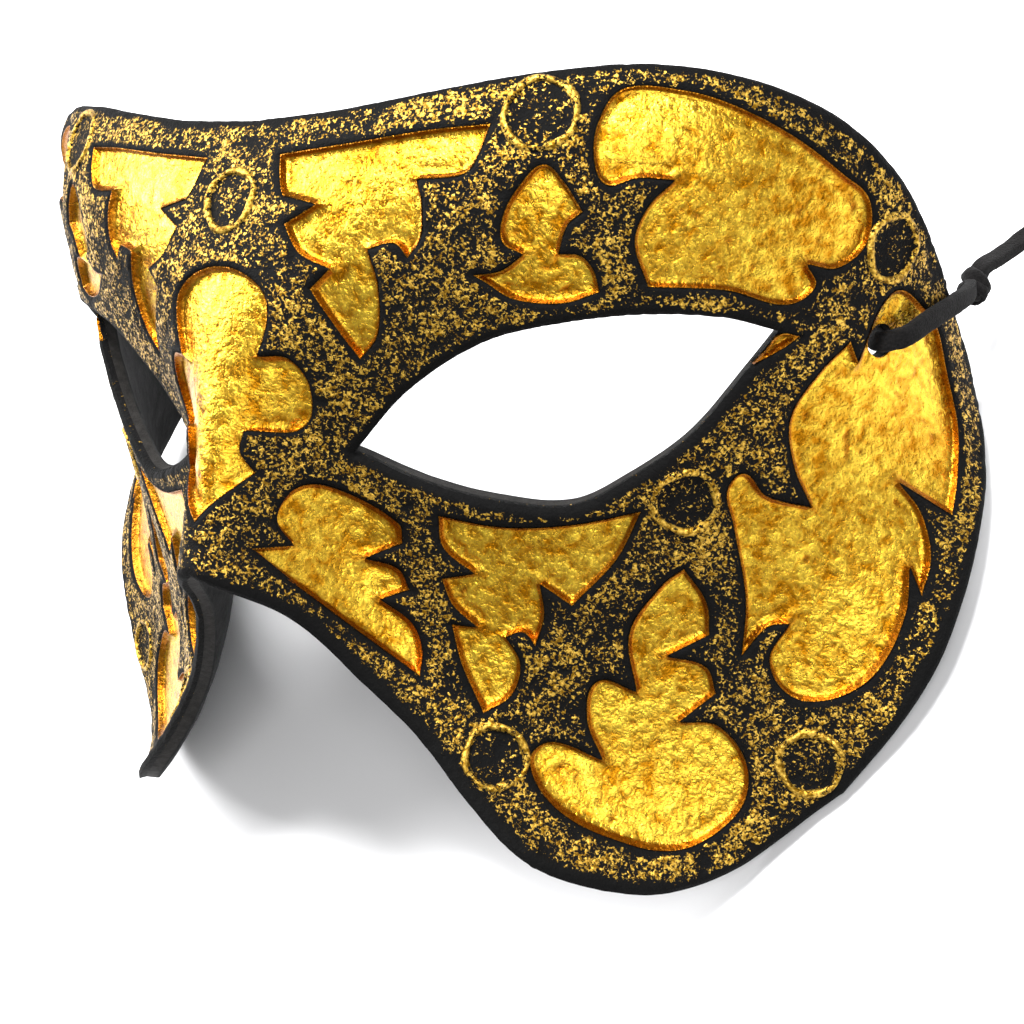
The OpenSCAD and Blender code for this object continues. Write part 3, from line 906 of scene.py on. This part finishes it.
def gilding_material():
    """Hammered gold paint: yellow on the floor, lighter on its rises as painted light, with painted shade in
    darker orange on the walls and in the pits.
    """
    n = Nodes("hammered_gilding")
    fine = n.noise(1500, 3, 0.6, 0.4)
    broad = n.noise(520, 3, 0.55, 0.5)
    # The floor colour is lighter where the hammered surface and its bump rise and darker where they fall: painted
    # light and shade.
    shade_and_tone = n.math("ADD", n.attribute("shade_and_tone"), n.math("MULTIPLY", n.math("SUBTRACT", broad, 0.5), 2.6))
    floor = n.mix(n.range(shade_and_tone, 0.05, 1.0), rgb(0.40, 0.16, 0.002), rgb(0.84, 0.56, 0.05))
    # Walls and dents are darkened to orange-brown: painted shade in the recesses.
    recess_shade = n.math("MAXIMUM", n.attribute("wall"), n.attribute("pit"), clamp=True)
    colour = n.mix(n.math("MULTIPLY", recess_shade, 0.9), floor, rgb(0.27, 0.085, 0.002))
    rough = n.range(fine, 0.3, 0.7, 0.2, 0.36)
    first = n.bump(broad, 0.6, 0.6)
    return n.finish(Base_Color=colour, Metallic=0.95, Roughness=rough, Normal=n.bump(fine, 0.8, 0.25, first))


def paper_material(name, colour, scale, rough):
    """Matte black paint over paper, with its lumps and fibres."""
    n = Nodes(name)
    lumps = n.noise(scale, 4, 0.6)
    fibres = n.noise(scale * 3.5, 3, 0.6, 1.5)
    shade = n.mix(n.range(lumps, 0.3, 0.7), rgb(*[c * 0.6 for c in colour]), rgb(*[c * 1.6 for c in colour]))
    height = n.math("ADD", lumps, n.math("MULTIPLY", fibres, 0.5))
    return n.finish(Base_Color=shade, Specular_IOR_Level=0.12,
                    Roughness=n.range(fibres, 0.3, 0.7, rough - 0.1, rough),
                    Normal=n.bump(height, 0.6, 0.4))


def suede_material():
    """Black suede: matte, with a short nap that catches light at its edges."""
    n = Nodes("black_suede")
    nap = n.noise(2600, 3, 0.7)
    patches = n.noise(420, 2)
    colour = n.mix(n.range(nap, 0.35, 0.75), rgb(0.002, 0.002, 0.002), rgb(0.012, 0.011, 0.011))
    colour = n.mix(n.range(patches, 0.4, 0.9, 0, 0.5), colour, rgb(0.015, 0.014, 0.014))
    return n.finish(Base_Color=colour, Roughness=0.92, Specular_IOR_Level=0.08, Sheen_Weight=0.04,
                    Sheen_Roughness=0.5, Normal=n.bump(nap, 0.8, 0.25))


def floor_material():
    n = Nodes("studio_floor")
    shade = n.mix(n.range(n.noise(6, 2), 0.3, 0.7), rgb(0.86, 0.86, 0.87), rgb(0.89, 0.89, 0.90))
    return n.finish(Base_Color=shade, Roughness=0.85)


# ---- studio ----
WORLD_STRENGTH = 0.36
# Each lamp's name, place, size and power in watts
LAMPS = (("key", (60, 360, 760), 220, 14.0), ("front", (420, -160, 640), 380, 2.6),
         ("left", (-620, 120, 520), 360, 10.0))


def make_studio():
    half = 3000
    points = [(-half, -half, -0.05), (half, -half, -0.05), (half, half, -0.05), (-half, half, -0.05)]
    floor = make_object("studio_floor", points, [(0, 1, 2, 3)])
    floor.data.materials.append(floor_material())
    world = bpy.data.worlds.new("studio")
    world.use_nodes = True
    world.node_tree.nodes["Background"].inputs["Color"].default_value = rgb(1.0, 1.0, 1.0)
    world.node_tree.nodes["Background"].inputs["Strength"].default_value = WORLD_STRENGTH
    bpy.context.scene.world = world
    bpy.context.scene.view_settings.view_transform = "Standard"
    target = Vector((20, 0, 40)) * MM
    for name, place, size, power in LAMPS:
        data = bpy.data.lights.new(name, "AREA")
        data.shape = "SQUARE"
        data.size = size * MM
        data.energy = power
        light = bpy.data.objects.new(name, data)
        light.location = Vector(place) * MM
        light.rotation_euler = (target - light.location).to_track_quat("-Z", "Y").to_euler()
        bpy.context.collection.objects.link(light)


def dress(pieces, material):
    for piece in pieces:
        piece.data.materials.clear()
        piece.data.materials.append(material)
        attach(piece, "root")


def main():
    shell, lining = make_shell()
    dress([shell], paper_material("painted_paper", (0.012, 0.011, 0.010), 700, 0.8))
    dress([lining], paper_material("black_lining", (0.010, 0.010, 0.010), 260, 0.95))
    dress([make_relief()] + make_rings(), stucco_material())
    dress(make_inlays(), gilding_material())
    dress(sum(tie_pieces.values(), []), suede_material())
    make_studio()


main()
